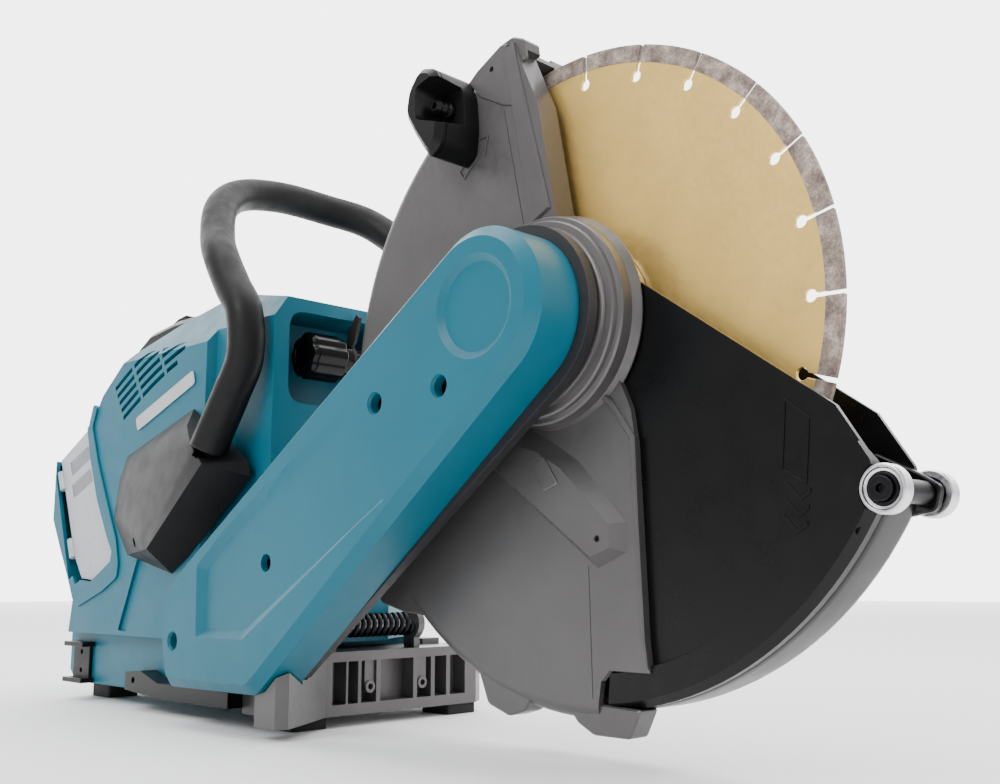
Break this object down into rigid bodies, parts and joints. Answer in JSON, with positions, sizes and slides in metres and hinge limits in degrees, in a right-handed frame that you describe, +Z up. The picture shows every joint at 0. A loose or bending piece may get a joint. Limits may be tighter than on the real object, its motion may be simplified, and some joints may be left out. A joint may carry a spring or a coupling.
{
  "type": "battery power cutter",
  "caption": "Battery power cutter with a diamond wheel under a tilting guard with guide rollers, a belt arm on the right, an arched front handle and a rear loop handle with a trigger.",
  "frame": {"origin": "middle of the footprint, on the ground under the feet", "axes": "+X forward towards the wheel, +Y to the machine's left, +Z up"},
  "size_m": [0.852, 0.2574, 0.461],
  "materials": {
    "cover_teal": "matte",
    "housing_teal": "matte",
    "cast_grey": "satin cast",
    "arm_grey": "satin",
    "dark_plastic": "matte",
    "black_plastic": "satin",
    "gloss_black": "gloss",
    "rubber": "matte",
    "steel": "brushed",
    "zinc": "zinc plated",
    "black_steel": "black oxide",
    "wheel_gold": "satin",
    "light_plastic": "satin",
    "copper": "enamelled",
    "board": "matte"
  },
  "bodies": {
    "saw": {"spindle_bearing_outer": "steel", "spindle_bearing_inner": "steel", "drive_belt": "rubber", "motor_stator": "copper", "motor_bearing_left": "steel", "motor_bearing_right": "steel", "belt_cover": "cover_teal", "belt_cover_screw_1": "steel", "belt_cover_screw_2": "steel", "belt_cover_screw_3": "steel", "belt_cover_screw_4": "steel", "belt_arm": "arm_grey", "housing_right": "housing_teal", "housing_left": "housing_teal", "battery_pack_right": "dark_plastic", "battery_pack_left": "dark_plastic", "battery_terminal": "black_plastic", "controller": "board", "base_pan": "housing_teal", "front_stand": "cast_grey", "foot_front_right": "rubber", "foot_front_left": "rubber", "foot_rear_right": "rubber", "foot_rear_left": "rubber", "av_spring": "black_steel", "av_spring_rod": "steel", "skid_rail": "gloss_black", "rear_bracket_right": "black_plastic", "rear_bracket_left": "black_plastic", "handle_mount_right": "dark_plastic", "handle_mount_left": "dark_plastic", "front_handle": "rubber", "rear_handle": "black_plastic", "water_inlet": "gloss_black", "cap_strap": "rubber", "name_plate": "steel"},
    "wheel": {"wheel_spindle": "steel", "driven_pulley": "black_steel", "inner_flange": "steel", "diamond_wheel": "wheel_gold", "outer_flange": "steel", "wheel_bolt": "black_steel"},
    "rotor": {"motor_rotor": "steel", "cooling_fan": "black_plastic", "motor_pulley": "black_steel"},
    "guard": {"guard_shell": "cast_grey", "guard_front_shell": "black_plastic", "guard_grip": "black_plastic", "water_nozzle": "gloss_black", "roller_shaft": "black_steel"},
    "roller_right": {"guard_roller_right": "zinc"},
    "roller_left": {"guard_roller_left": "zinc"},
    "trigger": {"trigger": "dark_plastic"},
    "lock_lever": {"lock_off_lever": "dark_plastic"},
    "door_right": {"battery_door_right": "light_plastic"},
    "door_left": {"battery_door_left": "light_plastic"},
    "water_cap": {"water_cap": "gloss_black"}
  },
  "joints": [
    {"name": "wheel_spin", "type": "hinge", "parent": "saw", "child": "wheel", "pos_m": [0.208, -0.03474, 0.2575], "axis": [0, 1, 0], "continuous": true},
    {"name": "motor_spin", "type": "hinge", "parent": "saw", "child": "rotor", "pos_m": [-0.08728, -0.03474, 0.09717], "axis": [0, 1, 0], "continuous": true},
    {"name": "guard_tilt", "type": "hinge", "parent": "saw", "child": "guard", "pos_m": [0.208, -0.07474, 0.2575], "axis": [0, 1, 0], "range_deg": [0, 120]},
    {"name": "guard_roller_right_spin", "type": "hinge", "parent": "guard", "child": "roller_right", "pos_m": [0.414, -0.05944, 0.1476], "axis": [0, 1, 0], "continuous": true},
    {"name": "guard_roller_left_spin", "type": "hinge", "parent": "guard", "child": "roller_left", "pos_m": [0.414, -0.01004, 0.1476], "axis": [0, 1, 0], "continuous": true},
    {"name": "trigger_pull", "type": "hinge", "parent": "saw", "child": "trigger", "pos_m": [-0.27, 0.00326, 0.326], "axis": [0, 1, 0], "range_deg": [0, 8], "stiffness_Nm_per_rad": 2, "springref_deg": -5.73},
    {"name": "lock_off_press", "type": "hinge", "parent": "saw", "child": "lock_lever", "pos_m": [-0.366, 0.00326, 0.338], "axis": [0, 1, 0], "range_deg": [0, 6], "stiffness_Nm_per_rad": 1, "springref_deg": -5.73},
    {"name": "battery_door_right_open", "type": "hinge", "parent": "saw", "child": "door_right", "pos_m": [-0.395, -0.08624, 0.205], "axis": [0.3979, 0, -0.9174], "range_deg": [0, 85]},
    {"name": "battery_door_left_open", "type": "hinge", "parent": "saw", "child": "door_left", "pos_m": [-0.395, 0.09276, 0.205], "axis": [-0.3979, 0, 0.9174], "range_deg": [0, 85]},
    {"name": "water_cap_turn", "type": "hinge", "parent": "saw", "child": "water_cap", "pos_m": [-0.062, -0.03474, 0.276], "axis": [0, 1, 0], "range_deg": [0, 90]}
  ],
  "couplings": [
    {"joint": "motor_spin", "follows": "wheel_spin", "ratio": 2}
  ]
}
